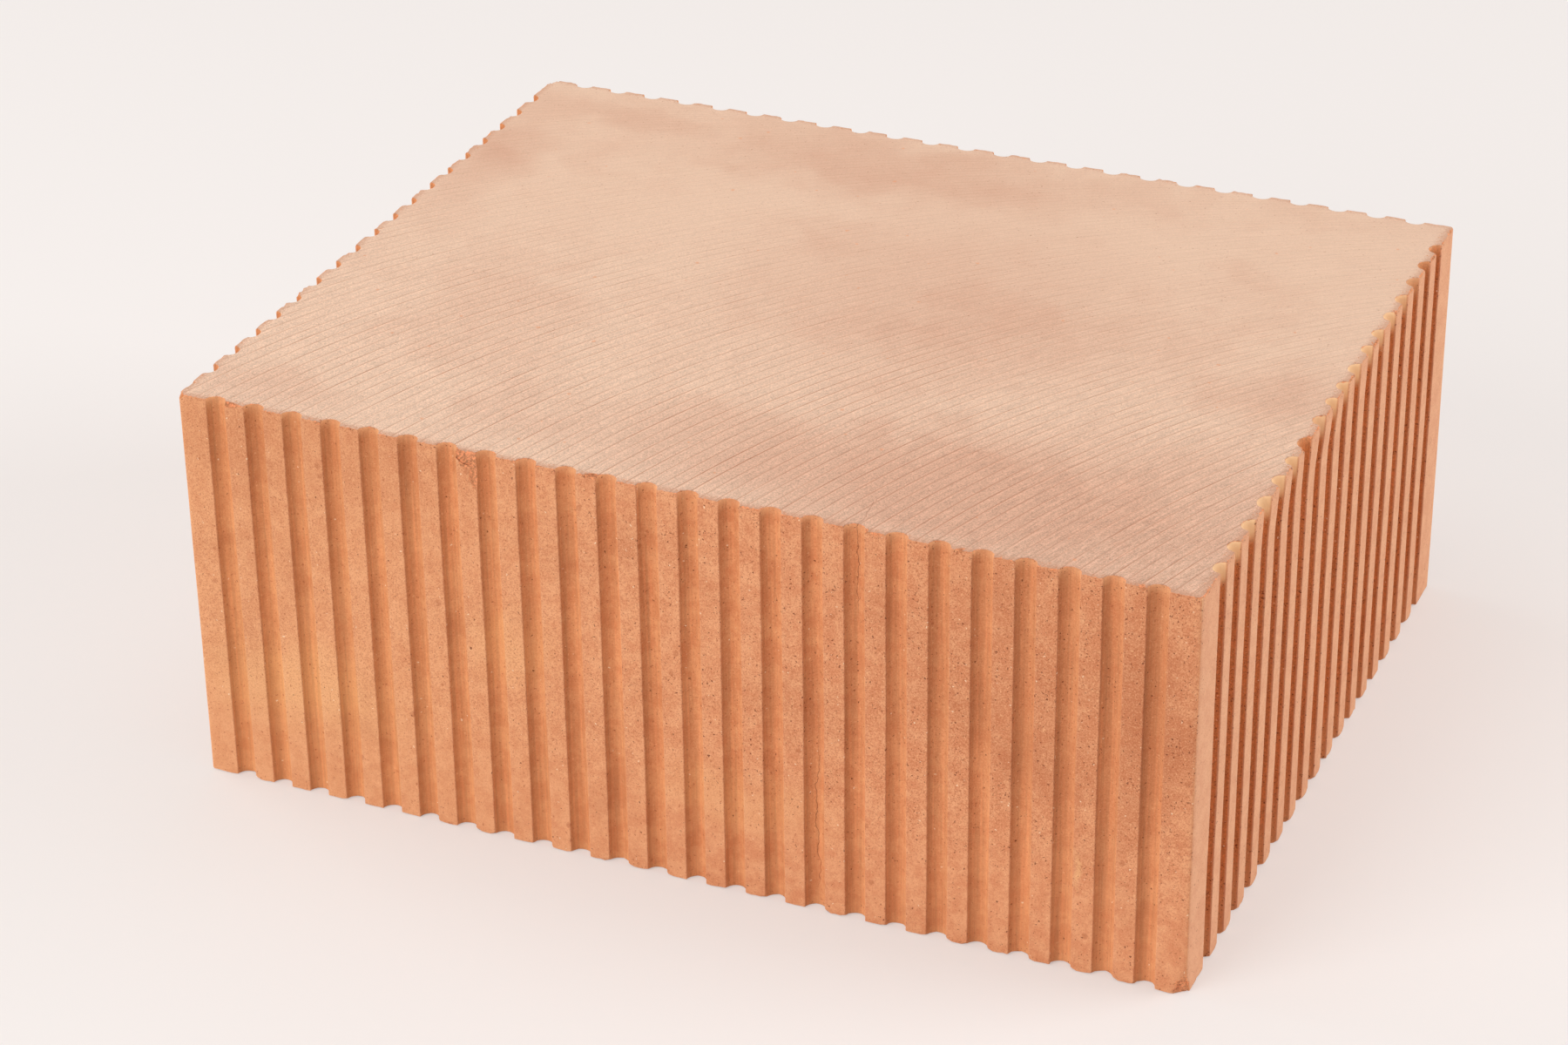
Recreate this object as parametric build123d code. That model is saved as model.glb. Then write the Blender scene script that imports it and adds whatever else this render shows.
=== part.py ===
from build123d import *
import os

# Clay brick: one solid fired block. The clay is pushed through a die that leaves half-round
# keying grooves on all four sides, and the two beds are cut square and ground flat.
# Lengths are in millimetres. X runs along the long faces, Y from the front face to the back
# face and Z up. The origin is the middle of the lower bed.

# Block
block_length = 300.0
block_width = 238.0
block_height = 124.0
corner_radius = 1.5

# Keying grooves, from bed to bed on every side
groove_pitch = 12.0
groove_width = 6.0
groove_depth = 2.9
corner_strip_min = 8.5

# The groove is an arc through its two arrises and its deepest line
groove_radius = ((groove_width / 2) ** 2 + groove_depth**2) / (2 * groove_depth)
groove_centre_offset = groove_radius - groove_depth


def groove_count(face_length):
    """Grooves that fit on a face and leave the plain strip beside each corner."""
    room = face_length - 2 * corner_strip_min - groove_width
    return int(room // groove_pitch) + 1


def groove_row(face_length, across):
    """Groove circles for two opposite faces, centred on them.

    face_length is the length of the faces and across the distance between them. The faces
    look along -Y and +Y.
    """
    row_spacing = across + 2 * groove_centre_offset
    places = GridLocations(groove_pitch, row_spacing, groove_count(face_length), 2)
    return places * Circle(groove_radius)


def die_section():
    """Outline that the die gives the column: a rectangle with its four grooved sides."""
    outline = RectangleRounded(block_length, block_width, corner_radius)
    long_faces = groove_row(block_length, block_width)
    short_faces = [Rot(Z=90) * groove for groove in groove_row(block_width, block_length)]
    return outline - long_faces - short_faces


def clay_brick():
    """Column cut to height between the lower and the upper bed."""
    return extrude(die_section(), amount=block_height)


os.makedirs("parts", exist_ok=True)
export_step(clay_brick(), "parts/clay_brick.step")
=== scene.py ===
"""Looks of a fired-clay block with keyed sides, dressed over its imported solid.

Lengths are in metres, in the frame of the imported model: X runs along the long faces, Y from the
front face to the back face and Z up, with the origin in the middle of the lower bed. Patterns in
the finishes are sized in millimetres.
"""

import logging
import math
import random
from dataclasses import dataclass
from enum import Enum

import bmesh
import bpy
from mathutils import Matrix, Vector, kdtree, noise


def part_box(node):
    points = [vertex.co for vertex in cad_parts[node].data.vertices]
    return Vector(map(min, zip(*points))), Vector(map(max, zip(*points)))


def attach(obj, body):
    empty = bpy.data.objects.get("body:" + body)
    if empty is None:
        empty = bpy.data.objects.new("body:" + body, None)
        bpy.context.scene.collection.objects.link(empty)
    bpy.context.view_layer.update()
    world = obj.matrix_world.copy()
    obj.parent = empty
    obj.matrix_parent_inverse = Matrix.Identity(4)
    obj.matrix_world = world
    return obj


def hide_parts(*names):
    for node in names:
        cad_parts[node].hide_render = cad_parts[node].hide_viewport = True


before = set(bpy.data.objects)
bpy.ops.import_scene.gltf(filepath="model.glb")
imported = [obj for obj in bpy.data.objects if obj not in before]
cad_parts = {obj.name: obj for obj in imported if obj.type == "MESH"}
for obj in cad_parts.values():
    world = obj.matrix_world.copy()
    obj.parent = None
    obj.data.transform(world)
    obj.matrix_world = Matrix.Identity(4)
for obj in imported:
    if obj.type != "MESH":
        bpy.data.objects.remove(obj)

LOG = logging.getLogger("clay_brick")
MM = 0.001
NODE = "clay_brick"
BODY = "root"
CHALKINESS = 0.6
GLOSS = 0.25
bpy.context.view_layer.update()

Colour = tuple[float, float, float, float]
Socket = bpy.types.NodeSocket


def srgb(red: int, green: int, blue: int) -> Colour:
    """Linear colour of a screen colour.

    Args:
        red: Red, from 0 to 255.
        green: Green, from 0 to 255.
        blue: Blue, from 0 to 255.

    Returns:
        The linear red, green and blue, and an alpha of 1.
    """
    shares = (channel / 255 for channel in (red, green, blue))
    linear = [c / 12.92 if c <= 0.04045 else ((c + 0.055) / 1.055) ** 2.4 for c in shares]
    return (*linear, 1.0)


def smooth_step(value: float, low: float, high: float) -> float:
    """Share from 0 at low to 1 at high, with soft ends.

    Args:
        value: Value to place between the two ends.
        low: Value that gives 0.
        high: Value that gives 1.

    Returns:
        The share, from 0 to 1.
    """
    share = min(max((value - low) / (high - low), 0.0), 1.0)
    return share * share * (3 - 2 * share)


class Side(Enum):
    """Upright faces of the block, in quarter turns from the front."""

    FRONT = 0
    RIGHT = 1
    BACK = 2
    LEFT = 3

    def turn(self) -> Matrix:
        """Rotation that brings the front face to this side."""
        return Matrix.Rotation(self.value * math.pi / 2, 4, "Z")


@dataclass(frozen=True)
class Chip:
    """Clay broken out of an edge: an ellipsoid centred on a side face.

    along runs from the face's middle to the right, seen from outside, and height is above the
    floor. slant is the sideways part of the blow that broke it, from -1 to 1.
    """

    side: Side
    along: float
    height: float
    half_width: float
    half_height: float
    depth: float
    freshness: float = 1.0
    slant: float = 0.0


@dataclass(frozen=True)
class RibLean:
    """Sideways lean of the ribs of the right face, at one place along it."""

    along: float
    shift: float


@dataclass(frozen=True)
class Stain:
    """Soft patch of another tone, an ellipsoid in millimetres."""

    centre: tuple[float, float, float]
    radii: tuple[float, float, float]
    strength: float


@dataclass(frozen=True)
class Crack:
    """Hairline crack near a plane of constant X, within an ellipsoid, in millimetres."""

    centre: tuple[float, float, float]
    radii: tuple[float, float, float]
    half_width: float = 0.06
    wander: float = 5.0
    wander_scale: float = 0.11


@dataclass(frozen=True)
class FeedMarks:
    """Arcs that the grinding wheel leaves on a bed, one feed apart along X."""

    wheel_radius: float = 351.0 * MM
    wheel_middle: float = -214.0 * MM
    feed: float = 4.4 * MM
    mark_share: float = 0.06
    depth: float = 0.06 * MM
    mean_strength: float = 0.55
    strength_spread: float = 0.45
    strength_scales: tuple[float, float] = (3.7, 18.0)

    def along_feed(self, y: float) -> float:
        """Distance from a mark to its wheel's middle, along X."""
        return math.sqrt(self.wheel_radius**2 - (y - self.wheel_middle) ** 2)

    def relief(self, x: float, y: float) -> float:
        """Height of the ground surface above its mean plane.

        Args:
            x: Place along X.
            y: Place along Y.

        Returns:
            The height, negative in a mark.
        """
        phase = (x + self.along_feed(y)) / self.feed
        line = round(phase)
        by_line, by_place = self.strength_scales
        uneven = noise.noise((line * by_line, y * by_place, 0.0))
        strength = self.mean_strength + self.strength_spread * uneven
        return -self.depth * strength * max(0.0, 1 - abs(phase - line) / self.mark_share)


class NodeSheet:
    """Lays out the nodes of one material."""

    smallest_speck: float = 0.55
    speck_edge: float = 0.45
    stain_core: float = 0.15
    crack_core: float = 0.7

    def __init__(self, name: str) -> None:
        """Starts an empty material.

        Args:
            name: The material's name.
        """
        self.material = bpy.data.materials.new(name)
        self.material.use_nodes = True
        self.tree = self.material.node_tree
        self.tree.nodes.clear()

    def add(self, kind: str, feeds: dict | None = None, **settings: object) -> bpy.types.Node:
        """Adds a node.

        Args:
            kind: The node's type.
            feeds: Values or sockets by input name or number.
            **settings: Properties of the node.

        Returns:
            The new node.
        """
        node = self.tree.nodes.new(kind)
        for name, value in settings.items():
            setattr(node, name, value)
        for key, value in (feeds or {}).items():
            if isinstance(value, Socket):
                self.tree.links.new(value, node.inputs[key])
            else:
                node.inputs[key].default_value = value
        return node

    def millimetres(self) -> Socket:
        """Object coordinates in millimetres."""
        coordinates = self.add("ShaderNodeTexCoord").outputs["Object"]
        return self.scaled(coordinates, (1 / MM, 1 / MM, 1 / MM))

    def scaled(self, vector: Socket, scale: tuple[float, float, float]) -> Socket:
        """A vector stretched along its axes."""
        return self.add("ShaderNodeMapping", {"Vector": vector, "Scale": scale}).outputs["Vector"]

    def split(self, vector: Socket) -> tuple[Socket, Socket, Socket]:
        """The X, Y and Z of a vector."""
        outputs = self.add("ShaderNodeSeparateXYZ", {"Vector": vector}).outputs
        return outputs["X"], outputs["Y"], outputs["Z"]

    def math(self, operation: str, *values: Socket | float) -> Socket:
        """Result of a math node."""
        feeds = dict(enumerate(values))
        return self.add("ShaderNodeMath", feeds, operation=operation).outputs[0]

    def times(self, first: Socket | float, *others: Socket | float) -> Socket:
        """Product of several values.

        Args:
            first: First value.
            *others: Values that multiply it, in turn.

        Returns:
            The product.
        """
        for other in others:
            first = self.math("MULTIPLY", first, other)
        return first

    def rest(self, share: Socket) -> Socket:
        """What a share leaves of 1."""
        return self.math("SUBTRACT", 1.0, share)

    def vector_math(self, operation: str, first: Socket, second: object) -> bpy.types.Node:
        """A vector math node on two vectors."""
        return self.add("ShaderNodeVectorMath", {0: first, 1: second}, operation=operation)

    def ramp(
        self, value: Socket, low: float, high: float, bottom: float = 0.0, top: float = 1.0
    ) -> Socket:
        """Soft step from bottom at low to top at high.

        Args:
            value: Value to map.
            low: Value that gives bottom.
            high: Value that gives top.
            bottom: Result at and below low.
            top: Result at and above high.

        Returns:
            The mapped value.
        """
        feeds = {"Value": value, "From Min": low, "From Max": high, "To Min": bottom, "To Max": top}
        node = self.add("ShaderNodeMapRange", feeds, interpolation_type="SMOOTHSTEP")
        return node.outputs["Result"]

    def cloud(
        self, vector: Socket, scale: float, detail: float = 3.0, roughness: float = 0.5
    ) -> Socket:
        """Cloudy noise from 0 to 1.

        Args:
            vector: Place in millimetres.
            scale: Lumps for each millimetre.
            detail: Octaves of finer lumps.
            roughness: Strength of the finer lumps.

        Returns:
            The noise value.
        """
        feeds = {"Vector": vector, "Scale": scale, "Detail": detail, "Roughness": roughness}
        return self.add("ShaderNodeTexNoise", feeds).outputs["Fac"]

    def shaken(self, vector: Socket, scale: float, reach: float) -> Socket:
        """Places moved about by noise, so that outlines come out ragged.

        Args:
            vector: Place in millimetres.
            scale: Lumps for each millimetre.
            reach: Largest move in millimetres.

        Returns:
            The moved place.
        """
        colour = self.add("ShaderNodeTexNoise", {"Vector": vector, "Scale": scale}).outputs["Color"]
        centred = self.vector_math("SUBTRACT", colour, (0.5, 0.5, 0.5)).outputs["Vector"]
        move = self.vector_math("MULTIPLY", centred, (2 * reach,) * 3).outputs["Vector"]
        return self.vector_math("ADD", vector, move).outputs["Vector"]

    def specks(
        self, vector: Socket, scale: float, radius: Socket | float, share: Socket | float
    ) -> Socket:
        """Scattered specks, at most one for each cell.

        Args:
            vector: Place in millimetres.
            scale: Cells for each millimetre.
            radius: Radius of a speck, in cells.
            share: Share of the cells that hold a speck.

        Returns:
            1 in a speck and 0 elsewhere.
        """
        cells = self.add("ShaderNodeTexVoronoi", {"Vector": vector, "Scale": scale})
        draw = self.add("ShaderNodeSeparateColor", {"Color": cells.outputs["Color"]}).outputs
        size = self.times(radius, self.ramp(draw["Green"], 0.0, 1.0, self.smallest_speck, 1.0))
        inside = self.rest(self.math("DIVIDE", cells.outputs["Distance"], size))
        held = self.math("LESS_THAN", draw["Red"], share)
        return self.times(self.ramp(inside, 0.0, self.speck_edge), held)

    def ellipsoid(self, vector: Socket, centre: tuple, radii: tuple, core: float) -> Socket:
        """1 within the core of an ellipsoid, falling to 0 at its surface.

        Args:
            vector: Place in millimetres.
            centre: Middle of the ellipsoid.
            radii: Its half sizes.
            core: Share of the radii where the fall starts.

        Returns:
            The mask.
        """
        offset = self.vector_math("SUBTRACT", vector, centre).outputs["Vector"]
        share = self.vector_math("DIVIDE", offset, radii).outputs["Vector"]
        reach = self.add("ShaderNodeVectorMath", {0: share}, operation="LENGTH").outputs["Value"]
        return self.ramp(reach, core, 1.0, 1.0, 0.0)

    def stains(self, vector: Socket, stains: tuple[Stain, ...]) -> Socket:
        """Strength of all stains together.

        Args:
            vector: Place in millimetres.
            stains: The stains.

        Returns:
            The summed strength.
        """
        total: Socket | float = 0.0
        for stain in stains:
            mask = self.ellipsoid(vector, stain.centre, stain.radii, self.stain_core)
            total = self.math("MULTIPLY_ADD", mask, stain.strength, total)
        return total

    def cracks(self, vector: Socket, cracks: tuple[Crack, ...]) -> Socket:
        """1 on a hairline crack and 0 elsewhere.

        Args:
            vector: Place in millimetres.
            cracks: The cracks.

        Returns:
            The mask.
        """
        total: Socket | float = 0.0
        along, _, _ = self.split(vector)
        for crack in cracks:
            bend = self.cloud(vector, crack.wander_scale, 4.0, 0.6)
            start = crack.centre[0] - crack.wander / 2
            middle = self.math("MULTIPLY_ADD", bend, crack.wander, start)
            away = self.math("ABSOLUTE", self.math("SUBTRACT", along, middle))
            line = self.ramp(away, crack.half_width, 2 * crack.half_width, 1.0, 0.0)
            inside = self.ellipsoid(vector, crack.centre, crack.radii, self.crack_core)
            total = self.math("MAXIMUM", total, self.times(line, inside))
        return total

    def mix(
        self, share: Socket | float, first: object, second: object, mode: str = "MIX"
    ) -> Socket:
        """Two colours blended.

        Args:
            share: Share of the second colour.
            first: First colour.
            second: Second colour.
            mode: How they blend.

        Returns:
            The blended colour.
        """
        feeds = {0: share, 6: first, 7: second}
        return self.add("ShaderNodeMix", feeds, data_type="RGBA", blend_type=mode).outputs[2]

    def shade(self, colour: Socket, tone: Socket) -> Socket:
        """A colour made darker or lighter by a grey tone."""
        return self.mix(1.0, colour, tone, "MULTIPLY")

    def fired(
        self, colour: Socket, height: Socket, depth: float, roughness: float
    ) -> bpy.types.Material:
        """Closes the sheet with a matt mineral surface.

        Args:
            colour: Base colour.
            height: Relief, from 0 to 1.
            depth: Depth of that relief in metres.
            roughness: Roughness of the surface.

        Returns:
            The finished material.
        """
        bump = self.add("ShaderNodeBump", {"Height": height, "Distance": depth})
        feeds = {
            "Base Color": colour,
            "Roughness": roughness,
            "Diffuse Roughness": CHALKINESS,
            "Specular IOR Level": GLOSS,
            "Normal": bump.outputs["Normal"],
        }
        shader = self.add("ShaderNodeBsdfPrincipled", feeds)
        self.add("ShaderNodeOutputMaterial", {"Surface": shader.outputs["BSDF"]})
        return self.material


FRESH_LAYER = "fresh_break"

CRACKS = (
    Crack(centre=(54.0, -119.0, 124.0), radii=(9.0, 24.0, 32.0)),
    Crack(centre=(42.0, -119.0, 30.0), radii=(9.0, 12.0, 27.0)),
)


class ClaySheet(NodeSheet):
    """Sheet of a clay finish, with the places and marks that both finishes share."""

    def __init__(self, name: str, size: Vector) -> None:
        """Starts the sheet.

        Args:
            name: The material's name.
            size: Size of the block.
        """
        super().__init__(name)
        self.top = size.z / MM
        self.place = self.millimetres()
        self.x, self.y, self.z = self.split(self.place)
        from_end = self.math("SUBTRACT", size.x / 2 / MM, self.math("ABSOLUTE", self.x))
        from_face = self.math("SUBTRACT", size.y / 2 / MM, self.math("ABSOLUTE", self.y))
        self.inward = self.math("MINIMUM", from_end, from_face)
        self.on_end = self.math("LESS_THAN", from_end, from_face)
        self.torn = self.shaken(self.place, 1.5, 0.6)
        self.fresh = self.add("ShaderNodeAttribute", attribute_name=FRESH_LAYER).outputs["Fac"]

    def broken(self, colour: Socket, fresh: Colour) -> Socket:
        """A colour with fresh clay where the block is chipped.

        Args:
            colour: Colour of the whole surface.
            fresh: Colour of the broken clay.

        Returns:
            The blended colour.
        """
        grain = self.cloud(self.place, 1.3, 2.0, 0.7)
        crumbs = self.ramp(grain, 0.3, 0.7, 0.62, 1.28)
        short = self.math("SUBTRACT", self.fresh, 0.6)
        ragged = self.ramp(self.math("MULTIPLY_ADD", grain, 1.2, short), 0.4, 0.65)
        held = self.times(ragged, self.ramp(self.fresh, 0.0, 0.25))
        return self.mix(held, colour, self.shade(fresh, crumbs))


@dataclass(frozen=True)
class KeyedClay:
    """Die-smoothed clay of the side faces."""

    size: Vector
    clay: Colour = srgb(234, 171, 127)
    yellow: Colour = srgb(240, 185, 134)
    deep: Colour = srgb(222, 150, 107)
    smudge: Colour = srgb(190, 112, 72)
    # Painted shade: multiplier that makes the grooves darker and deeper in tone.
    groove_painted_shade: Colour = (0.94, 0.87, 0.75, 1.0)
    smooth: Colour = srgb(234, 173, 130)
    # Painted shade: darker colour of the short faces' grooves.
    end_groove_painted_shade: Colour = srgb(206, 125, 71)
    pale: Colour = srgb(246, 196, 148)
    pore: Colour = srgb(122, 50, 24)
    grit: Colour = srgb(250, 228, 196)
    # Pale salts and painted sheen: paler tone of the short faces' ribs.
    rib_bloom_and_sheen: Colour = srgb(222, 175, 144)
    # Painted light: pale tops of the right face's grooves, where light falls in over the upper bed.
    groove_top_painted_light: Colour = srgb(247, 210, 165)
    foot_bloom: Colour = srgb(226, 170, 124)
    # Painted light: paler tops of all the grooves.
    lip_painted_light: Colour = srgb(242, 194, 148)
    fresh: Colour = srgb(222, 149, 104)
    pore_strength: float = 0.8
    grit_strength: float = 0.8
    crack_strength: float = 0.5
    roughness: float = 0.9
    relief: float = 0.2 * MM
    stains: tuple[Stain, ...] = (
        Stain((36.0, -119.0, 66.0), (30.0, 30.0, 14.0), 0.2),
        Stain((106.0, -119.0, 62.0), (20.0, 30.0, 22.0), 0.25),
        Stain((138.0, -119.0, 82.0), (20.0, 30.0, 54.0), 0.45),
        Stain((-120.0, -119.0, 116.0), (90.0, 30.0, 36.0), 0.2),
        Stain((100.0, -119.0, 90.0), (70.0, 30.0, 60.0), 0.25),
    )
    warm: tuple[Stain, ...] = (
        Stain((-118.0, -119.0, 36.0), (46.0, 30.0, 22.0), 0.6),
        Stain((-50.0, -119.0, 64.0), (20.0, 30.0, 20.0), 0.5),
        Stain((117.2, -119.0, 33.0), (2.2, 30.0, 10.0), 1.0),
        Stain((20.0, -119.0, 30.0), (40.0, 30.0, 14.0), 0.4),
    )
    # Patch whose groove tops are left without the painted light: painted shade.
    unlit_patch: Stain = Stain((150.0, -23.0, 124.0), (30.0, 12.0, 30.0), 1.0)

    def body(self, sheet: ClaySheet, groove: Socket) -> Socket:
        """Colour of the fired body, with its stains and the grooves' painted shade.

        Args:
            sheet: Sheet of the material.
            groove: 1 in a groove and 0 on a rib.

        Returns:
            The colour.
        """
        ragged = sheet.shaken(sheet.place, 0.08, 9.0)
        tone = sheet.ramp(sheet.cloud(sheet.place, 0.16, 4.0, 0.75), 0.36, 0.64)
        colour = sheet.mix(tone, self.deep, self.clay)
        drift = sheet.ramp(sheet.x, 60.0, -150.0, 0.0, 0.35)
        warmth = sheet.math("ADD", sheet.stains(ragged, self.warm), drift)
        colour = sheet.mix(warmth, colour, self.yellow)
        blotch = sheet.ramp(sheet.cloud(ragged, 0.035, 4.0, 0.65), 0.5, 0.75, 0.0, 0.3)
        soil = sheet.math("ADD", sheet.stains(ragged, self.stains), blotch)
        soil = sheet.times(soil, sheet.rest(sheet.on_end))
        colour = sheet.mix(soil, colour, self.smudge)
        spots = sheet.specks(sheet.torn, 0.11, 0.13, 0.5)
        colour = sheet.mix(sheet.times(spots, 0.5), colour, self.smudge)
        smooth = sheet.times(groove, sheet.ramp(sheet.x, 0.0, 110.0, 0.0, 0.3))
        colour = sheet.mix(smooth, colour, self.smooth)
        # Painted shade in the grooves.
        colour = sheet.mix(groove, colour, self.groove_painted_shade, "MULTIPLY")
        # Painted shade: the short faces' grooves take the darker colour, mottled.
        mottle = sheet.ramp(sheet.cloud(sheet.place, 1.3, 3.0, 0.8), 0.35, 0.65, 0.84, 1.16)
        end_groove_painted_shade = sheet.shade(self.end_groove_painted_shade, mottle)
        return sheet.mix(sheet.times(sheet.on_end, groove), colour, end_groove_painted_shade)

    def end_rib(self, sheet: ClaySheet, groove: Socket) -> Socket:
        """1 on the ribs of the short faces and 0 elsewhere."""
        return sheet.times(sheet.on_end, sheet.rest(groove))

    def pores(self, sheet: ClaySheet, groove: Socket) -> Socket:
        """Open pores in drifts: few low down, on the left of the long faces and in their grooves.

        Args:
            sheet: Sheet of the material.
            groove: 1 in a groove and 0 on a rib.

        Returns:
            1 in a pore and 0 elsewhere.
        """
        crowd = sheet.ramp(sheet.x, -110.0, 120.0, 0.06, 1.0)
        low = sheet.math("MAXIMUM", sheet.ramp(sheet.z, 18.0, 60.0, 0.3, 1.0), sheet.on_end)
        drift = sheet.ramp(sheet.cloud(sheet.place, 0.12, 2.0, 0.6), 0.35, 0.65, 0.35, 1.2)
        rim = sheet.ramp(sheet.z, sheet.top - 2.2, sheet.top - 0.6, 0.0, 0.8)
        worn = sheet.ramp(sheet.on_end, 0.0, 1.0, -0.65, 1.6)
        rough = sheet.math("MULTIPLY_ADD", groove, worn, 1.0)
        clean = sheet.ramp(sheet.z, sheet.top - 9.0, sheet.top - 5.0, 0.0, 1.0)
        clean = sheet.times(clean, sheet.on_end, groove)
        clean = sheet.math("MULTIPLY_ADD", self.end_rib(sheet, groove), 0.4, clean)
        rough = sheet.times(rough, sheet.rest(clean))
        crowd = sheet.times(crowd, low, drift)
        share = sheet.times(sheet.math("ADD", crowd, rim), rough)
        wide = sheet.specks(sheet.torn, 0.65, 0.21, sheet.times(share, 0.5))
        fine = sheet.specks(sheet.torn, 1.15, 0.3, sheet.times(share, 0.62))
        return sheet.math("MAXIMUM", wide, fine)

    def salts_and_painted_light(self, sheet: ClaySheet, colour: Socket, groove: Socket) -> Socket:
        """Salts and painted sheen on the short faces' ribs; painted light in the grooves' tops.

        Args:
            sheet: Sheet of the material.
            colour: Colour under the salts and the painted light.
            groove: 1 in a groove and 0 on a rib.

        Returns:
            The colour with the salts and the painted light on it.
        """
        # Pale salts and painted sheen on the ribs of the short faces.
        rib = sheet.times(self.end_rib(sheet, groove), 0.4)
        colour = sheet.mix(rib, colour, self.rib_bloom_and_sheen)
        # Painted light in the tops of all the grooves.
        brow = sheet.ramp(sheet.z, sheet.top - 3.5, sheet.top - 0.5, 0.0, 0.2)
        colour = sheet.mix(sheet.times(groove, brow), colour, self.lip_painted_light)
        # Painted light in the tops of the right face's grooves, left out in the unlit patch.
        right = sheet.times(sheet.on_end, sheet.math("GREATER_THAN", sheet.x, 0.0))
        unlit_patch = sheet.ellipsoid(sheet.place, self.unlit_patch.centre, self.unlit_patch.radii, 0.3)
        held = sheet.times(right, sheet.rest(unlit_patch), sheet.ramp(sheet.y, 58.0, 94.0, 1.0, 0.1))
        band = sheet.ramp(sheet.z, sheet.top - 8.0, sheet.top - 3.5, 0.0, 0.9)
        colour = sheet.mix(sheet.times(held, groove, band), colour, self.groove_top_painted_light)
        foot = sheet.ramp(sheet.z, 24.0, 3.0, 0.0, 0.5)
        return sheet.mix(sheet.times(foot, right, groove), colour, self.foot_bloom)

    def material(self) -> bpy.types.Material:
        """Builds the finish.

        Returns:
            The material.
        """
        sheet = ClaySheet("keyed_clay", self.size)
        groove = sheet.ramp(sheet.inward, 0.15, 0.7)
        colour = self.body(sheet, groove)
        drawn = sheet.cloud(sheet.scaled(sheet.place, (1.0, 1.0, 0.02)), 1.1, 2.0, 0.6)
        streak = sheet.times(groove, sheet.math("SUBTRACT", drawn, 0.5))
        grain = sheet.cloud(sheet.place, 2.2, 2.0, 0.75)
        high = sheet.times(
            sheet.ramp(sheet.z, 12.0, 50.0, 0.5, 1.0),
            sheet.ramp(sheet.x, -60.0, 100.0, 0.85, 1.0),
            sheet.ramp(self.end_rib(sheet, groove), 0.0, 1.0, 1.0, 0.8),
        )
        open_face = sheet.times(sheet.ramp(groove, 0.0, 1.0, 1.0, 0.5), high)
        rust = sheet.specks(sheet.torn, 1.1, 0.4, sheet.times(open_face, 0.7))
        hollow = sheet.times(sheet.ramp(grain, 0.52, 0.36, 0.0, 0.55), open_face)
        hollow = sheet.math("MAXIMUM", hollow, sheet.times(rust, 0.75))
        colour = sheet.mix(hollow, colour, self.smudge)
        chaff = sheet.specks(sheet.torn, 0.9, 0.3, sheet.times(open_face, 0.35))
        crest = sheet.times(sheet.ramp(grain, 0.52, 0.68, 0.0, 0.36), open_face)
        crest = sheet.math("MAXIMUM", crest, sheet.times(chaff, 0.5))
        colour = sheet.mix(crest, colour, self.pale)
        colour = sheet.shade(colour, sheet.math("MULTIPLY_ADD", streak, 0.5, 1.0))
        grit = sheet.specks(sheet.torn, 0.55, 0.18, sheet.times(open_face, 0.24))
        colour = sheet.mix(sheet.times(grit, self.grit_strength), colour, self.grit)
        pores = self.pores(sheet, groove)
        cracks = sheet.times(sheet.cracks(sheet.place, CRACKS), self.crack_strength)
        dark = sheet.math("MAXIMUM", sheet.times(pores, self.pore_strength), cracks)
        colour = self.salts_and_painted_light(sheet, colour, groove)
        colour = sheet.mix(dark, colour, self.pore)
        colour = sheet.broken(colour, self.fresh)
        height = sheet.math("MULTIPLY_ADD", streak, 0.5, sheet.times(grain, 0.6))
        height = sheet.math("SUBTRACT", height, dark)
        return sheet.fired(colour, height, self.relief, self.roughness)


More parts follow.
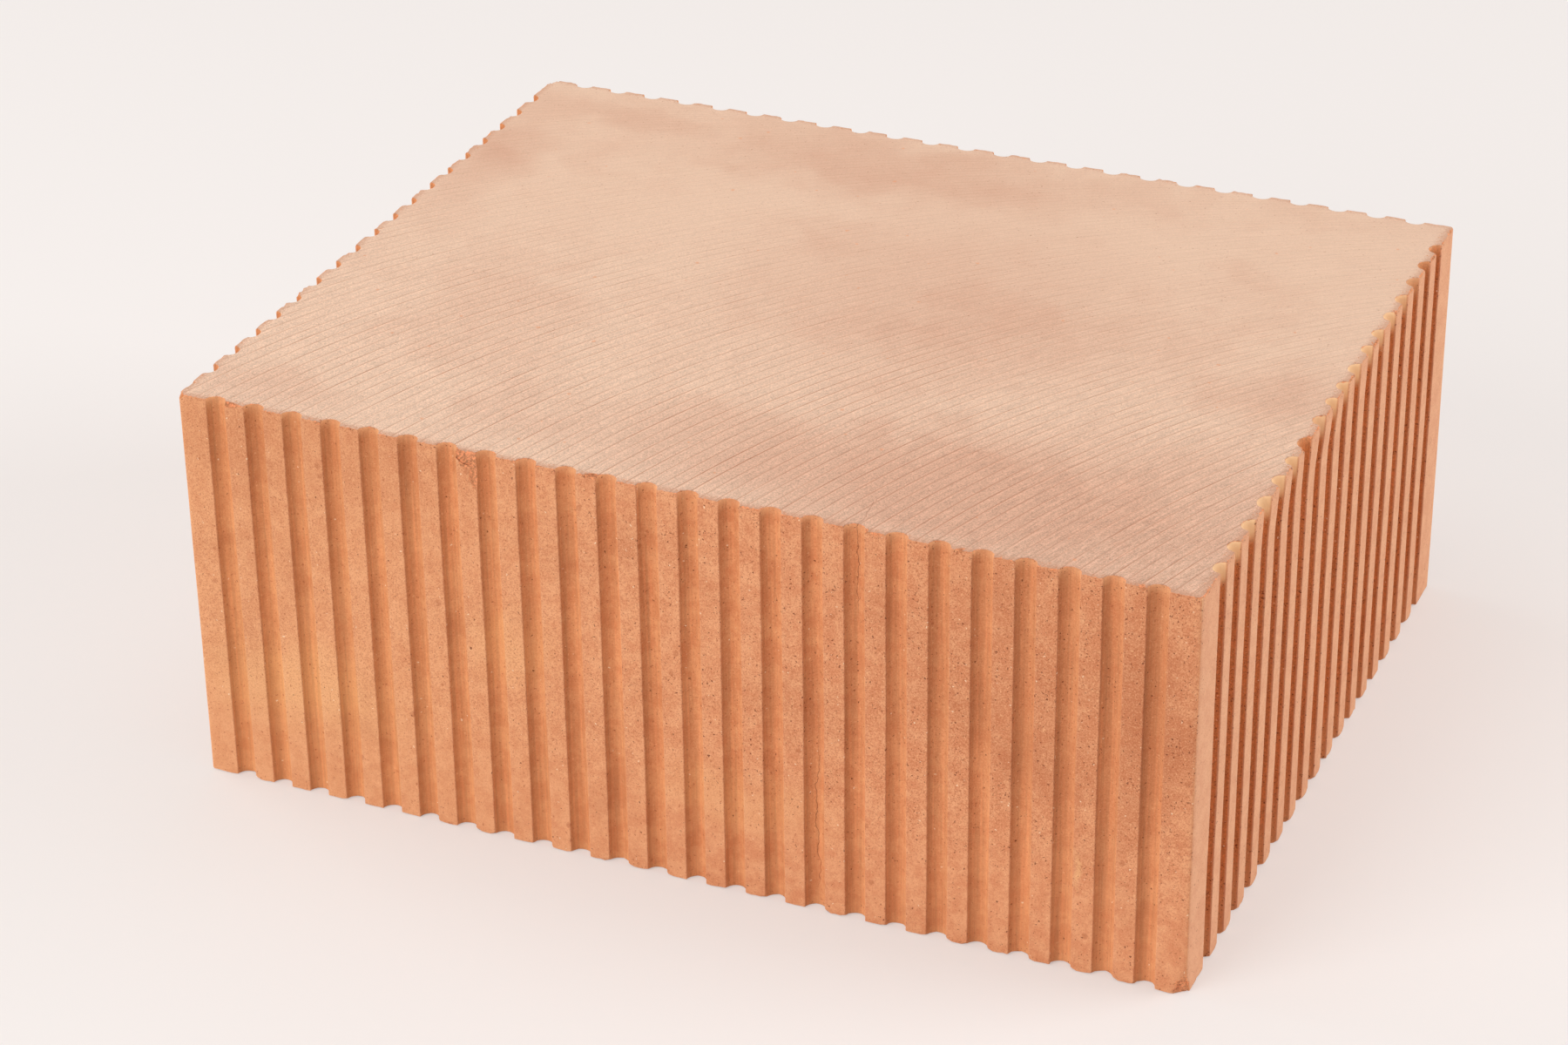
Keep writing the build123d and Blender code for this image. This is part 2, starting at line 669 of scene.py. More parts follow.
@dataclass(frozen=True)
class GroundClay:
    """Wheel-ground clay of the beds, pale with dust, with painted shade and highlight on the marks."""

    size: Vector
    marks: FeedMarks
    cream: Colour = srgb(226, 194, 170)
    pink: Colour = srgb(212, 169, 144)
    # Colour of the wheel marks' lines, which is painted shade, and of the dashes at the front right
    # corner.
    mark: Colour = srgb(180, 122, 92)
    rim: Colour = srgb(202, 152, 124)
    orange: Colour = srgb(226, 152, 108)
    pit: Colour = srgb(168, 114, 88)
    fresh: Colour = srgb(222, 149, 106)
    dash_strength: float = 0.25
    pit_strength: float = 0.5
    crack_strength: float = 0.6
    roughness: float = 0.92
    relief: float = 0.1 * MM
    stains: tuple[Stain, ...] = (
        Stain((-142.0, 60.0, 124.0), (22.0, 60.0, 30.0), 0.6),
        Stain((-110.0, 100.0, 124.0), (60.0, 16.0, 30.0), 0.35),
        Stain((-15.0, 94.0, 124.0), (85.0, 30.0, 30.0), 0.6),
        Stain((24.0, 14.0, 124.0), (90.0, 84.0, 30.0), 0.5),
        Stain((-130.0, -104.0, 124.0), (34.0, 16.0, 30.0), 0.4),
        Stain((40.0, -92.0, 124.0), (110.0, 50.0, 30.0), 0.8),
        Stain((118.0, -84.0, 124.0), (90.0, 70.0, 30.0), 0.7),
        Stain((138.0, -8.0, 124.0), (30.0, 34.0, 30.0), 0.4),
    )

    def phase(self, sheet: ClaySheet) -> Socket:
        """Count of feeds from the wheel's start to a place, a whole number on a mark.

        Args:
            sheet: Sheet of the material.

        Returns:
            The count.
        """
        off_middle = sheet.math("SUBTRACT", sheet.y, self.marks.wheel_middle / MM)
        square = sheet.times(off_middle, off_middle)
        radius = self.marks.wheel_radius / MM
        reach = sheet.math("SQRT", sheet.math("SUBTRACT", radius**2, square))
        return sheet.math("DIVIDE", sheet.math("ADD", sheet.x, reach), self.marks.feed / MM)

    def material(self) -> bpy.types.Material:
        """Builds the finish.

        Returns:
            The material.
        """
        sheet = ClaySheet("ground_clay", self.size)
        ragged = sheet.shaken(sheet.place, 0.05, 16.0)
        blotch = sheet.ramp(sheet.cloud(ragged, 0.02, 5.0, 0.6), 0.42, 0.72, 0.0, 0.4)
        patches = sheet.math("ADD", blotch, sheet.stains(ragged, self.stains))
        colour = sheet.mix(patches, self.cream, self.pink)

        phase = self.phase(sheet)
        share = sheet.math("FRACT", phase)
        gap = sheet.math("MINIMUM", share, sheet.rest(share))
        number = sheet.math("ROUND", phase)
        turn = sheet.add("ShaderNodeTexWhiteNoise", {"W": number}, noise_dimensions="1D")
        held = sheet.ramp(turn.outputs["Value"], 0.0, 1.0, 0.6, 1.0)
        fade = sheet.ramp(sheet.cloud(sheet.place, 0.05, 3.0, 0.6), 0.3, 0.7, 0.5, 1.0)
        near = sheet.ramp(sheet.y, 80.0, -95.0, 0.3, 1.0)
        strength = sheet.times(held, fade, near)
        grain = sheet.cloud(sheet.place, 2.4, 2.0, 0.75)
        thin = sheet.ramp(gap, 0.01, 0.075, 1.0, 0.0)
        line = sheet.times(thin, sheet.ramp(grain, 0.32, 0.6, 0.5, 1.0), strength)
        dust = sheet.times(near, 1.15)
        tone = sheet.math("MULTIPLY_ADD", sheet.math("SUBTRACT", grain, 0.5), dust, 1.0)
        # Painted highlight: a pale band after each mark's line, with the strands' hatching added.
        pale = sheet.times(sheet.ramp(share, 0.08, 0.4, 0.08, 0.0), strength)
        along = sheet.times(sheet.y, 0.02)
        swept = sheet.add("ShaderNodeCombineXYZ", {"X": phase, "Y": along}).outputs["Vector"]
        strands = sheet.cloud(swept, 4.5, 2.0, 0.8)
        hatch = sheet.times(near, sheet.ramp(sheet.x, 0.0, 130.0, 0.45, 0.75))
        pale = sheet.math("MULTIPLY_ADD", sheet.math("SUBTRACT", strands, 0.5), hatch, pale)
        fuzz = sheet.cloud(sheet.scaled(swept, (1.0, 1.6, 1.0)), 11.0, 1.0, 0.6)
        corner = sheet.times(sheet.ramp(sheet.x, 60.0, 145.0), sheet.ramp(sheet.y, -50.0, -105.0))
        line = sheet.times(line, sheet.ramp(corner, 0.0, 1.0, 1.0, 0.85))
        dashes = sheet.times(sheet.ramp(fuzz, 0.47, 0.66), corner)
        colour = sheet.shade(colour, sheet.math("ADD", tone, pale))
        # Painted shade: the marks' lines darkened over their real relief, with the dashes.
        scored = sheet.math("MAXIMUM", line, sheet.times(dashes, self.dash_strength))
        colour = sheet.mix(scored, colour, self.mark)

        worn = sheet.math("MULTIPLY_ADD", grain, 5.0, sheet.math("SUBTRACT", sheet.inward, 2.5))
        colour = sheet.mix(sheet.ramp(worn, 0.5, 3.2, 0.6, 0.0), colour, self.rim)
        spots = sheet.specks(sheet.torn, 0.16, 0.13, 0.35)
        crumbs = sheet.specks(sheet.torn, 0.9, 0.45, sheet.ramp(sheet.inward, 3.2, 0.3, 0.0, 0.7))
        bits = sheet.math("MAXIMUM", sheet.times(spots, 0.5), sheet.times(crumbs, 0.5))
        colour = sheet.mix(bits, colour, self.orange)
        pits = sheet.specks(sheet.torn, 0.9, 0.24, sheet.ramp(sheet.inward, 4.0, 0.5, 0.32, 0.8))
        cracks = sheet.times(sheet.cracks(sheet.place, CRACKS), self.crack_strength)
        dark = sheet.math("MAXIMUM", sheet.times(pits, self.pit_strength), cracks)
        colour = sheet.mix(dark, colour, self.pit)
        colour = sheet.broken(colour, self.fresh)
        height = sheet.math("SUBTRACT", sheet.times(grain, 0.6), sheet.times(line, 0.6))
        height = sheet.math("SUBTRACT", height, dark)
        return sheet.fired(colour, height, self.relief, self.roughness)


@dataclass
class KeyedBlock:
    """The fired block: keyed sides, ground beds, leaning ribs and chipped edges."""

    low: Vector
    high: Vector
    marks: FeedMarks
    groove_pitch: float = 12.0 * MM
    groove_width: float = 6.0 * MM
    groove_depth: float = 2.9 * MM
    groove_steps: int = 10
    corner_strip_min: float = 8.5 * MM
    corner_radius: float = 1.5 * MM
    corner_steps: int = 4
    arris_radius: float = 0.2 * MM
    arris_steps: int = 2
    rib_step: float = 2.0 * MM
    rim_width: float = 3.8 * MM
    rim_gap: float = 1.0 * MM
    rim_cuts: int = 3
    foot_step: float = 0.5 * MM
    foot_growth: float = 1.7
    brow_step: float = 0.3 * MM
    brow_growth: float = 1.35
    wall_step: float = 9.0 * MM
    mark_rows: int = 48
    strip_shares: tuple[float, ...] = (0.28, 0.5, 0.72)
    level_slack: float = 0.01 * MM
    sharp_angle: float = math.radians(20.0)
    lean_drop: float = 15.0 * MM
    lean_reach: float = 9.0 * MM
    wobble: float = 0.12 * MM
    wobble_scale: float = 28.0
    nick_count: int = 220
    nick_sizes: tuple[float, float] = (0.4 * MM, 1.1 * MM)
    nick_height_share: float = 0.9
    nick_freshness: float = 0.8
    wear_sizes: tuple[float, float] = (0.4 * MM, 1.2 * MM)
    wear_depth_share: float = 0.8
    refine_reach: float = 1.15
    bite_reach: float = 1.4
    chip_grain: float = 600.0
    chip_roughness: float = 0.22
    crumb_size: float = 0.45 * MM
    crumb_scale: float = 260.0
    crumb_detail: float = 3.1
    crumb_spread: float = 0.6
    seed: int = 7
    leans: tuple[RibLean, ...] = (
        RibLean(-80.0 * MM, 0.0),
        RibLean(-57.0 * MM, 2.5 * MM),
        RibLean(-44.0 * MM, 2.4 * MM),
        RibLean(-33.0 * MM, 1.0 * MM),
        RibLean(-20.0 * MM, 3.3 * MM),
        RibLean(-8.0 * MM, 3.4 * MM),
        RibLean(4.0 * MM, 1.5 * MM),
        RibLean(16.0 * MM, 0.5 * MM),
        RibLean(28.0 * MM, 1.5 * MM),
        RibLean(44.0 * MM, 0.0),
    )
    chips: tuple[Chip, ...] = (
        Chip(Side.FRONT, -59.8 * MM, 124.0 * MM, 3.7 * MM, 5.2 * MM, 0.9 * MM),
        Chip(Side.FRONT, -57.6 * MM, 118.0 * MM, 1.6 * MM, 5.4 * MM, 0.6 * MM),
        Chip(Side.FRONT, 150.0 * MM, 0.0, 3.6 * MM, 5.8 * MM, 2.7 * MM, 0.9, -0.6),
        Chip(Side.FRONT, -150.0 * MM, 124.0 * MM, 2.0 * MM, 2.0 * MM, 2.0 * MM, 0.3, 0.7),
        Chip(Side.FRONT, -134.0 * MM, 124.0 * MM, 2.8 * MM, 1.3 * MM, 1.3 * MM),
        Chip(Side.FRONT, -22.0 * MM, 124.0 * MM, 2.2 * MM, 1.0 * MM, 1.6 * MM),
        Chip(Side.RIGHT, 119.0 * MM, 113.0 * MM, 1.6 * MM, 1.8 * MM, 1.4 * MM, 0.6, -0.7),
        Chip(Side.RIGHT, -15.0 * MM, 124.0 * MM, 2.6 * MM, 1.2 * MM, 2.4 * MM),
        Chip(Side.BACK, 150.0 * MM, 124.0 * MM, 3.0 * MM, 2.2 * MM, 3.0 * MM, 0.4, -0.7),
    )

    @property
    def size(self) -> Vector:
        """Length, width and height of the block."""
        return self.high - self.low

    @property
    def groove_radius(self) -> float:
        """Radius of the groove's arc, from its opening and its depth."""
        return ((self.groove_width / 2) ** 2 + self.groove_depth**2) / (2 * self.groove_depth)

    def face(self, side: Side) -> tuple[float, float]:
        """Size of a side face.

        Args:
            side: The side face.

        Returns:
            Its length, and its distance from the block's middle.
        """
        long_face = side in (Side.FRONT, Side.BACK)
        length, across = (self.size.x, self.size.y) if long_face else (self.size.y, self.size.x)
        return length, across / 2

    def groove_centres(self, length: float) -> list[float]:
        """Places of the grooves along a face.

        Args:
            length: Length of the face.

        Returns:
            The grooves' middles, from the middle of the face.
        """
        room = length - 2 * self.corner_strip_min - self.groove_width
        count = int(room // self.groove_pitch) + 1
        return [(index - (count - 1) / 2) * self.groove_pitch for index in range(count)]

    def on_face(self, side: Side, along: float, depth: float, height: float) -> Vector:
        """Point of the block from its place on a side face.

        Args:
            side: The side face.
            along: Place from the face's middle to the right, seen from outside.
            depth: Depth below the face.
            height: Height above the floor.

        Returns:
            The point.
        """
        _, reach = self.face(side)
        return side.turn() @ Vector((along, depth - reach, height))

    def draw_outline(self, bm: bmesh.types.BMesh) -> list[bmesh.types.BMEdge]:
        """Draws the die's outline on the floor: arcs for grooves, straight ribs, eased arrises.

        Args:
            bm: Mesh to draw in.

        Returns:
            The outline's edges.
        """
        stops = []
        offset = self.groove_radius - self.groove_depth
        angle = 2 * math.acos(offset / self.groove_radius)
        for side in Side:
            length, _ = self.face(side)
            corner = bm.verts.new(self.on_face(side, -length / 2, 0.0, 0.0))
            stops.append((corner, corner))
            for centre in self.groove_centres(length):
                start = bm.verts.new(self.on_face(side, centre - self.groove_width / 2, 0.0, 0.0))
                middle = self.on_face(side, centre, -offset, 0.0)
                arc = bmesh.ops.spin(
                    bm,
                    geom=[start],
                    cent=middle,
                    axis=(0, 0, -1),
                    angle=angle,
                    steps=self.groove_steps,
                )
                stops.append((start, arc["geom_last"][0]))
        for (_, last), (first, _) in zip(stops, stops[1:] + stops[:1]):
            bm.edges.new((last, first))
        bmesh.ops.edgenet_fill(bm, edges=[edge for edge in bm.edges if edge.is_wire])
        corners = [first for first, last in stops if first is last]
        arrises = [vert for first, last in stops if first is not last for vert in (first, last)]
        self.ease(bm, corners, self.corner_radius, self.corner_steps)
        self.ease(bm, arrises, self.arris_radius, self.arris_steps)
        plate = max(bm.faces, key=lambda face: len(face.verts))
        bmesh.ops.delete(bm, geom=[plate], context="FACES_ONLY")
        while ribs := [e for e in bm.edges if e.is_wire and e.calc_length() > self.rib_step]:
            bmesh.ops.subdivide_edges(bm, edges=ribs, cuts=1)
        return [edge for edge in bm.edges if edge.is_wire]

    def ease(self, bm: bmesh.types.BMesh, verts: list, radius: float, steps: int) -> None:
        """Rounds corners of the flat outline.

        Args:
            bm: Mesh of the outline.
            verts: Corners to round.
            radius: Distance of the rounding from each corner.
            steps: Edges in each rounding.
        """
        bmesh.ops.bevel(
            bm,
            geom=verts,
            offset=radius,
            segments=steps,
            profile=0.5,
            affect="VERTICES",
            material=-1,
        )

    def wall_levels(self) -> list[float]:
        """Heights of the wall's rows, close together near the beds.

        Returns:
            The heights, from the floor to the upper bed.
        """
        foot = self.graded(self.foot_step, self.foot_growth)
        brow = [self.size.z - drop for drop in self.graded(self.brow_step, self.brow_growth)]
        rows = math.ceil((brow[-1] - foot[-1]) / self.wall_step)
        plain = [foot[-1] + (brow[-1] - foot[-1]) * row / rows for row in range(1, rows)]
        return foot + plain + brow[::-1]

    def graded(self, step: float, growth: float) -> list[float]:
        """Distances from a bed that grow until they reach the wall's plain step.

        Args:
            step: First step.
            growth: Ratio of one step to the last.

        Returns:
            The distances, from 0.
        """
        distances = [0.0]
        while step < self.wall_step:
            distances.append(distances[-1] + step)
            step *= growth
        return distances

    def raise_walls(self, bm: bmesh.types.BMesh, loop: list) -> list[bmesh.types.BMEdge]:
        """Extrudes the outline row by row up to the upper bed.

        Args:
            bm: Mesh of the outline.
            loop: The outline's edges on the floor.

        Returns:
            The edges of the upper rim.
        """
        for height in self.wall_levels()[1:]:
            row = bmesh.ops.extrude_edge_only(bm, edges=loop)["geom"]
            for vert in (item for item in row if isinstance(item, bmesh.types.BMVert)):
                vert.co.z = height
            loop = [item for item in row if isinstance(item, bmesh.types.BMEdge)]
        return loop

    def squeeze(self, place: float, half: float) -> float:
        """Draws a place beside a corner in along its face, so that a row turns in without folds.

        Args:
            place: Place along the face, from its middle.
            half: Half the face's length.

        Returns:
            The drawn-in place.
        """
        start = half - self.corner_strip_min
        beyond = max(0.0, abs(place) - start)
        kept = 1 - self.rim_width / self.corner_strip_min
        return math.copysign(min(abs(place), start) + beyond * kept, place)

    def turn_rim(self, bm: bmesh.types.BMesh, loop: list) -> list[bmesh.types.BMEdge]:
        """Turns the rim inwards to a plain rectangle on the upper bed.

        Args:
            bm: Mesh of the block.
            loop: The edges of the upper rim.

        Returns:
            The rectangle's edges.
        """
        half = self.size / 2
        inner = half - Vector((self.rim_width, self.rim_width, 0))
        row = bmesh.ops.extrude_edge_only(bm, edges=loop)["geom"]
        verts = [item for item in row if isinstance(item, bmesh.types.BMVert)]
        turned = set(verts)
        for vert in verts:
            x, y, _ = vert.co
            if half.x - abs(x) < half.y - abs(y):
                vert.co.xy = (math.copysign(inner.x, x), self.squeeze(y, half.y))
            else:
                vert.co.xy = (self.squeeze(x, half.x), math.copysign(inner.y, y))
        spokes = [
            edge for vert in verts for edge in vert.link_edges if edge.other_vert(vert) not in turned
        ]
        bmesh.ops.subdivide_edges(bm, edges=spokes, cuts=self.rim_cuts, use_grid_fill=True)
        return [item for item in row if isinstance(item, bmesh.types.BMEdge)]

    def grind_bed(self, bm: bmesh.types.BMesh) -> list[bmesh.types.BMEdge]:
        """Lays the middle of the upper bed as strips that follow the wheel's marks.

        Args:
            bm: Mesh of the block, still empty.

        Returns:
            The strips' outer edges.
        """
        marks = self.marks
        half = self.size / 2
        shares = (0.0, marks.mark_share, *self.strip_shares, 1 - marks.mark_share)
        start = math.floor((marks.along_feed(half.y) - half.x) / marks.feed)
        stop = math.ceil((marks.along_feed(-half.y) + half.x) / marks.feed)
        columns = (stop - start) * len(shares)
        grid = bmesh.ops.create_grid(bm, x_segments=columns, y_segments=self.mark_rows, size=0.5)
        for vert in grid["verts"]:
            turn, part = divmod(round((vert.co.x + 0.5) * columns), len(shares))
            y = vert.co.y * self.size.y
            x = (start + turn + shares[part]) * marks.feed - marks.along_feed(y)
            vert.co = (x, y, self.high.z)
        inset = self.rim_width + self.rim_gap
        for side in Side:
            edge = self.on_face(side, 0.0, inset, 0.0)
            whole = bm.verts[:] + bm.edges[:] + bm.faces[:]
            bmesh.ops.bisect_plane(bm, geom=whole, plane_co=edge, plane_no=edge, clear_outer=True)
        return [edge for edge in bm.edges if edge.is_boundary]

    def join_bed(self, bm: bmesh.types.BMesh, edges: list) -> None:
        """Fills the flat ring between the rim's rectangle and the strips with triangles."""
        bmesh.ops.triangle_fill(bm, edges=edges, use_beauty=True, use_dissolve=False, normal=(0, 0, 1))

    def close_foot(self, bm: bmesh.types.BMesh, outline: list) -> None:
        """Closes the lower bed with one face, cut into triangles."""
        plate = bmesh.ops.contextual_create(bm, geom=outline)["faces"]
        bmesh.ops.triangulate(bm, faces=plate, quad_method="BEAUTY", ngon_method="BEAUTY")

    def shape_bed(self, bm: bmesh.types.BMesh) -> None:
        """Presses the wheel's marks into the upper bed.

        Args:
            bm: Mesh of the block.
        """
        for vert in bm.verts:
            inside = self.size / 2 - Vector(map(abs, vert.co))
            if vert.co.z > self.high.z - self.level_slack and min(inside.xy) > self.rim_width:
                vert.co.z += self.marks.relief(vert.co.x, vert.co.y)

    def lean_at(self, along: float) -> float:
        """Sideways lean of the right face's ribs at a place along it.

        Args:
            along: Place along the face.

        Returns:
            The shift at the upper bed.
        """
        for near, far in zip(self.leans, self.leans[1:]):
            if near.along <= along <= far.along:
                share = smooth_step(along, near.along, far.along)
                return near.shift + (far.shift - near.shift) * share
        return 0.0

    def lean_ribs(self, bm: bmesh.types.BMesh) -> None:
        """Drags the tops of the right face's ribs sideways, as the cut left them.

        Args:
            bm: Mesh of the block.
        """
        top, end = self.high.z, self.high.x
        for vert in bm.verts:
            rise = smooth_step(vert.co.z, top - self.lean_drop, top - self.brow_step)
            side = smooth_step(vert.co.x, end - self.lean_reach, end - self.groove_depth)
            if rise * side > 0:
                vert.co.y += self.lean_at(vert.co.y) * rise * side

    def loosen(self, bm: bmesh.types.BMesh) -> None:
        """Takes the machine straightness off the walls, by about a tenth of a millimetre.

        Args:
            bm: Mesh of the block.
        """
        noise.seed_set(self.seed)
        for vert in bm.verts:
            inside = self.size / 2 - Vector(map(abs, vert.co))
            hold = smooth_step(min(inside.xy), self.rim_width, self.groove_depth)
            shift = noise.noise_vector(vert.co * self.wobble_scale) * self.wobble * hold
            vert.co.xy += shift.xy

    def refine(self, bm: bmesh.types.BMesh, chip: Chip) -> None:
        """Cuts the mesh finer round a large chip.

        Args:
            bm: Mesh of the block.
            chip: The chip.
        """
        centre = self.on_face(chip.side, chip.along, 0.0, chip.height)
        reach = self.refine_reach * max(chip.half_width, chip.half_height, chip.depth)
        near = {vert for vert in bm.verts if (vert.co - centre).length < reach}
        within = [edge for edge in bm.edges if near.issuperset(edge.verts)]
        edges = [edge for edge in within if edge.calc_length() > self.brow_step]
        bmesh.ops.subdivide_edges(bm, edges=edges, cuts=2, use_grid_fill=True)

    def nicks(self) -> list[Chip]:
        """Small losses along the rim and worn rib feet, drawn at random.

        Returns:
            The nicks.
        """
        draw = random.Random(self.seed)
        found = []
        for side in Side:
            length, _ = self.face(side)
            for _ in range(round(self.nick_count * length / (2 * (self.size.x + self.size.y)))):
                size = draw.uniform(*self.nick_sizes)
                along = draw.uniform(-length / 2, length / 2)
                halves = (size, self.nick_height_share * size, size)
                found.append(Chip(side, along, self.high.z, *halves, self.nick_freshness))
            for centre in self.groove_centres(length):
                for way in (-1, 1):
                    size = draw.uniform(*self.wear_sizes)
                    edge = centre + way * self.groove_width / 2
                    halves = (size, size, self.wear_depth_share * size)
                    found.append(Chip(side, edge, 0.0, *halves, 0.0, way))
        return found

    def bite(self, bm: bmesh.types.BMesh, chips: list[Chip]) -> None:
        """Pushes the surface into the block, back to the chips' ellipsoids, and marks fresh clay.

        Args:
            bm: Mesh of the block.
            chips: The chips.
        """
        fresh = bm.verts.layers.float[FRESH_LAYER]
        bm.verts.ensure_lookup_table()
        tree = kdtree.KDTree(len(bm.verts))
        for index, vert in enumerate(bm.verts):
            tree.insert(vert.co, index)
        tree.balance()
        for chip in chips:
            lift = (chip.height < chip.half_height) - (chip.height > self.high.z - chip.half_height)
            blow = Vector((chip.slant, 1, lift)).normalized()
            radii = Vector((chip.half_width, chip.depth, chip.half_height))
            centre = self.on_face(chip.side, chip.along, 0.0, chip.height)
            shape = Matrix.Translation(centre) @ chip.side.turn() @ Matrix.Diagonal(radii).to_4x4()
            inverse = shape.inverted()
            for _, index, _ in tree.find_range(centre, self.bite_reach * max(radii)):
                vert = bm.verts[index]
                spot = inverse @ vert.co
                rough = 1 + self.chip_roughness * noise.noise(vert.co * self.chip_grain)
                if spot.length < rough:
                    lead = spot.dot(blow)
                    depth = math.sqrt(lead**2 - spot.length_squared + rough**2) - lead
                    vert.co = shape @ (spot + depth * blow)
                    vert[fresh] = max(vert[fresh], chip.freshness)

    def crumble(self, bm: bmesh.types.BMesh) -> None:
        """Rounds the arris between walls and beds unevenly, as cutting and handling leave it.

        Args:
            bm: Mesh of the block.
        """
        fresh = bm.verts.layers.float[FRESH_LAYER]
        bm.normal_update()
        normals = {vert: vert.normal.copy() for vert in bm.verts}
        for vert, normal in normals.items():
            drop = min(self.high.z - vert.co.z, vert.co.z - self.low.z)
            coarse = noise.noise(vert.co * self.crumb_scale)
            fine = noise.noise(vert.co * self.crumb_scale * self.crumb_detail)
            loss = self.crumb_size * (1 + self.crumb_spread * coarse + max(0.0, fine))
            on_wall = any(face.material_index == 0 for face in vert.link_faces)
            if on_wall and drop < loss:
                move = (loss - drop) / 2
                upper = vert.co.z > self.size.z / 2
                vert.co.xy -= normal.xy.normalized() * move
                vert.co.z += -move if upper else move
                vert[fresh] = max(vert[fresh], min(1.0, move / self.crumb_size))

    def build(self) -> bpy.types.Object:
        """Models the block.

        Returns:
            The block as a linked object, without materials.
        """
        bm = bmesh.new()
        strips = self.grind_bed(bm)
        outline = self.draw_outline(bm)
        rectangle = self.turn_rim(bm, self.raise_walls(bm, outline))
        self.join_bed(bm, rectangle + strips)
        self.close_foot(bm, outline)
        for face in bm.faces:
            levels = [vert.co.z for vert in face.verts]
            face.material_index = int(max(levels) - min(levels) < self.brow_step / 2)
            face.smooth = True
        for chip in self.chips:
            self.refine(bm, chip)
        bmesh.ops.poke(bm, faces=[face for face in bm.faces if len(face.verts) > 4])
        bmesh.ops.recalc_face_normals(bm, faces=bm.faces[:])
        bm.verts.layers.float.new(FRESH_LAYER)
        self.shape_bed(bm)
        self.crumble(bm)
        self.lean_ribs(bm)
        self.loosen(bm)
        self.bite(bm, [*self.chips, *self.nicks()])
        for edge in bm.edges:
            edge.smooth = not edge.is_manifold or edge.calc_face_angle() < self.sharp_angle
        mesh = bpy.data.meshes.new("fired_block")
        bm.to_mesh(mesh)
        bm.free()
        piece = bpy.data.objects.new("fired_block", mesh)
        bpy.context.scene.collection.objects.link(piece)
        return piece

    def dress(self, piece: bpy.types.Object) -> None:
        """Gives the walls and the beds their finishes.

        Args:
            piece: The block.
        """
        piece.data.materials.append(KeyedClay(self.size).material())
        piece.data.materials.append(GroundClay(self.size, self.marks).material())


@dataclass(frozen=True)
class StudioFloor:
    """Plain pale floor under the block, which stays pale in the block's shadow."""

    half_size: float = 4.0
    colour: Colour = srgb(250, 250, 250)
    glow_colour: Colour = srgb(238, 228, 223)
    glow_share: float = 0.5
    roughness: float = 0.6
    gloss: float = 0.2

    def build(self) -> bpy.types.Object:
        """Lays the floor.

        Returns:
            The floor as a linked object.
        """
        bm = bmesh.new()
        bmesh.ops.create_grid(bm, x_segments=1, y_segments=1, size=self.half_size)
        mesh = bpy.data.meshes.new("studio_floor")
        bm.to_mesh(mesh)
        bm.free()
        sheet = NodeSheet("studio_floor")
        feeds = {
            "Base Color": self.colour,
            "Roughness": self.roughness,
            "Specular IOR Level": self.gloss,
        }
        lit = sheet.add("ShaderNodeBsdfPrincipled", feeds).outputs["BSDF"]
        glow = sheet.add("ShaderNodeEmission", {"Color": self.glow_colour}).outputs["Emission"]
        rays = sheet.add("ShaderNodeLightPath").outputs
        seen = sheet.math("MAXIMUM", rays["Is Camera Ray"], rays["Is Glossy Ray"])
        seen = sheet.math("MAXIMUM", seen, rays["Is Transmission Ray"])
        share = sheet.times(seen, self.glow_share)
        surface = sheet.add("ShaderNodeMixShader", {0: share, 1: lit, 2: glow}).outputs["Shader"]
        sheet.add("ShaderNodeOutputMaterial", {"Surface": surface})
        mesh.materials.append(sheet.material)
        floor = bpy.data.objects.new("studio_floor", mesh)
        bpy.context.scene.collection.objects.link(floor)
        return floor


@dataclass(frozen=True)
class SoftBox:
    """Square lamp that looks at the block."""

    name: str
    place: Vector
    size: float
    power: float
    colour: tuple[float, float, float]

    def build(self, target: Vector) -> bpy.types.Object:
        """Hangs the lamp.

        Args:
            target: Point that it looks at.

        Returns:
            The lamp as a linked object.
        """
        data = bpy.data.lights.new(self.name, "AREA")
        data.shape = "SQUARE"
        data.size = self.size
        data.energy = self.power
        data.color = self.colour
        lamp = bpy.data.objects.new(self.name, data)
        lamp.location = self.place
        lamp.rotation_euler = (target - self.place).to_track_quat("-Z", "Y").to_euler()
        bpy.context.scene.collection.objects.link(lamp)
        return lamp


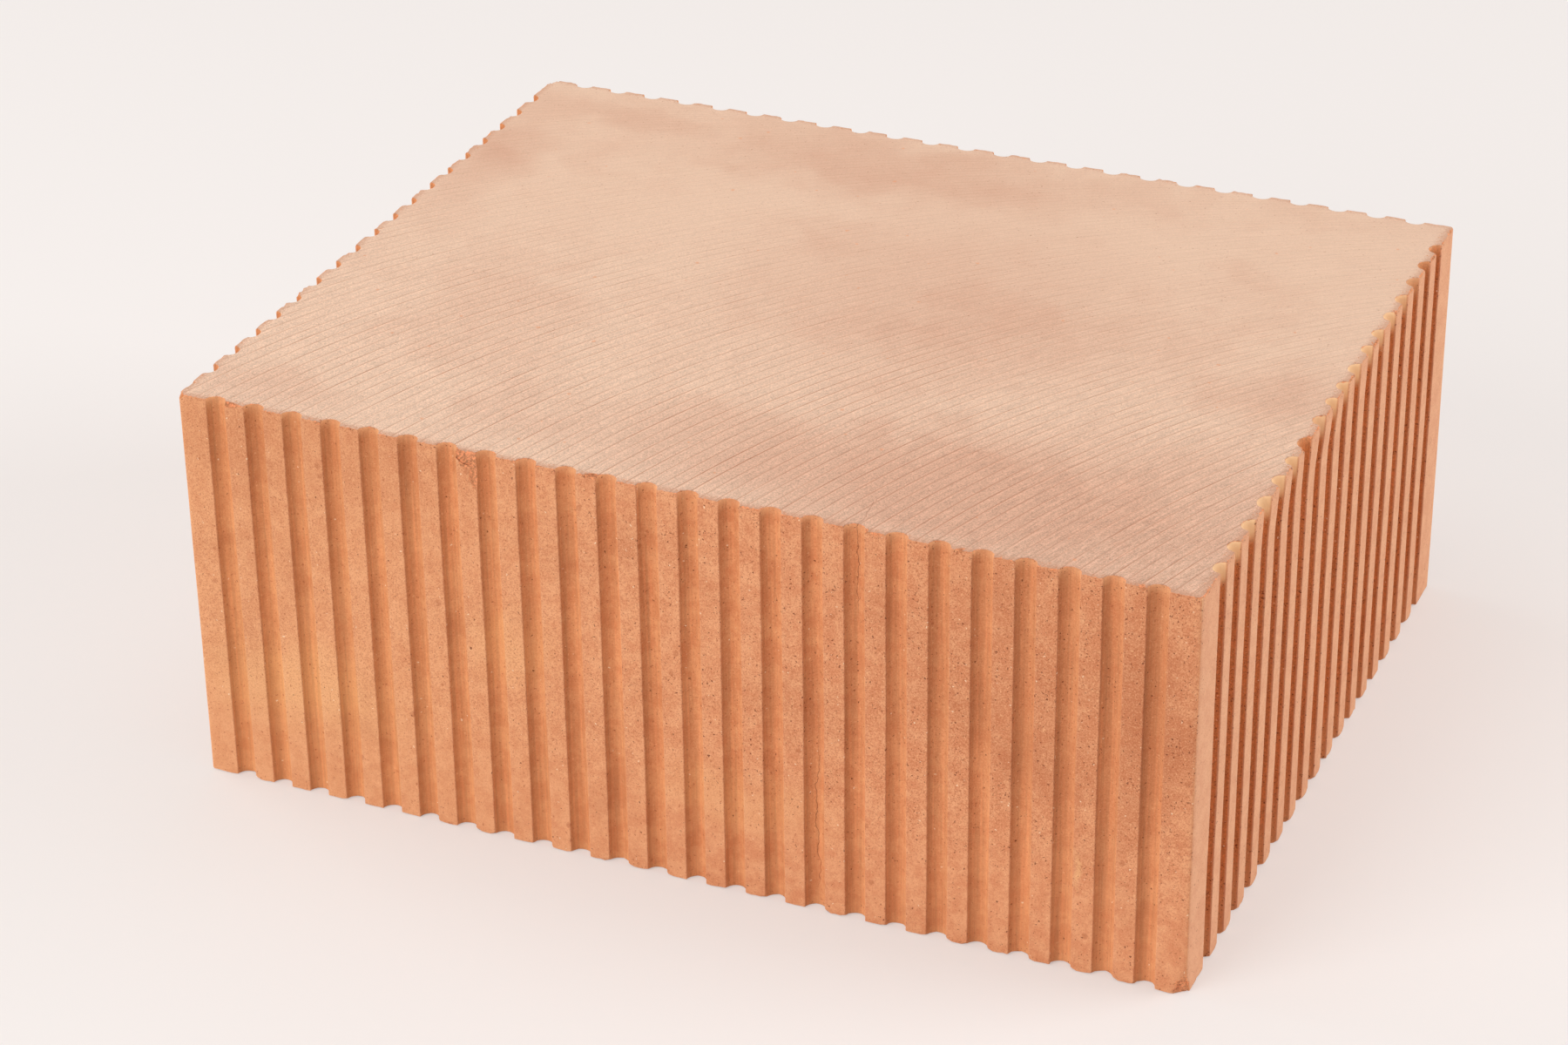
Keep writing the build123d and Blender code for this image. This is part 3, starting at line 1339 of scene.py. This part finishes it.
@dataclass(frozen=True)
class Studio:
    """Soft light all round, with four large lamps."""

    ambient: float = 0.32
    ambient_colour: Colour = (1.0, 0.955, 0.92, 1.0)
    boxes: tuple[SoftBox, ...] = (
        SoftBox("front_box", Vector((-1.2, -2.4, 1.35)), 2.0, 49.0, (1.0, 0.985, 0.97)),
        SoftBox("left_box", Vector((-1.8, 0.2, 0.9)), 1.2, 8.0, (1.0, 0.985, 0.98)),
        SoftBox("right_box", Vector((2.2, 0.9, 0.95)), 1.6, 42.0, (1.0, 0.985, 0.98)),
        SoftBox("overhead_box", Vector((-0.1, -0.1, 1.8)), 1.6, 10.0, (1.0, 0.99, 0.98)),
    )

    def build(self, target: Vector) -> None:
        """Lights the scene.

        Args:
            target: Point that the lamps look at.
        """
        world = bpy.data.worlds.new("studio")
        world.use_nodes = True
        background = world.node_tree.nodes["Background"]
        background.inputs["Color"].default_value = self.ambient_colour
        background.inputs["Strength"].default_value = self.ambient
        bpy.context.scene.world = world
        for box in self.boxes:
            box.build(target)


@dataclass(frozen=True)
class PhotoCamera:
    """Camera at the photograph's place, fitted to the block's edges."""

    azimuth: float = math.radians(23.658)
    elevation: float = math.radians(29.286)
    roll: float = math.radians(-0.752)
    place: Vector = Vector((420.6 * MM, -1001.1 * MM, 661.8 * MM))
    lens: float = 96.216
    sensor_width: float = 36.0

    def build(self) -> bpy.types.Object:
        """Sets up the camera and makes it the scene's own.

        Returns:
            The camera as a linked object.
        """
        level = math.cos(self.elevation)
        east = math.sin(self.azimuth) * level
        south = math.cos(self.azimuth) * level
        back = Vector((east, -south, math.sin(self.elevation)))
        right = Vector((0, 0, 1)).cross(back).normalized()
        up = back.cross(right)
        turn = Matrix((right, up, back)).transposed() @ Matrix.Rotation(self.roll, 3, "Z")
        data = bpy.data.cameras.new("photo_camera")
        data.lens = self.lens
        data.sensor_fit = "HORIZONTAL"
        data.sensor_width = self.sensor_width
        camera = bpy.data.objects.new("photo_camera", data)
        camera.matrix_world = Matrix.Translation(self.place) @ turn.to_4x4()
        bpy.context.scene.collection.objects.link(camera)
        bpy.context.scene.camera = camera
        return camera


def main() -> None:
    """Builds the block and the studio."""
    logging.basicConfig(level=logging.INFO, format="%(name)s: %(message)s")
    low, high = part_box(NODE)
    block = KeyedBlock(low, high, FeedMarks())
    piece = block.build()
    block.dress(piece)
    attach(piece, BODY)
    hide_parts(NODE)
    piece.data.calc_loop_triangles()
    LOG.info("%s: %d triangles", piece.name, len(piece.data.loop_triangles))
    floor = StudioFloor().build()
    LOG.info("%s laid", floor.name)
    Studio().build((low + high) / 2)
    camera = PhotoCamera().build()
    LOG.info("%s set", camera.name)
    bpy.context.scene.view_settings.view_transform = "Standard"


if __name__ == "__main__":
    main()
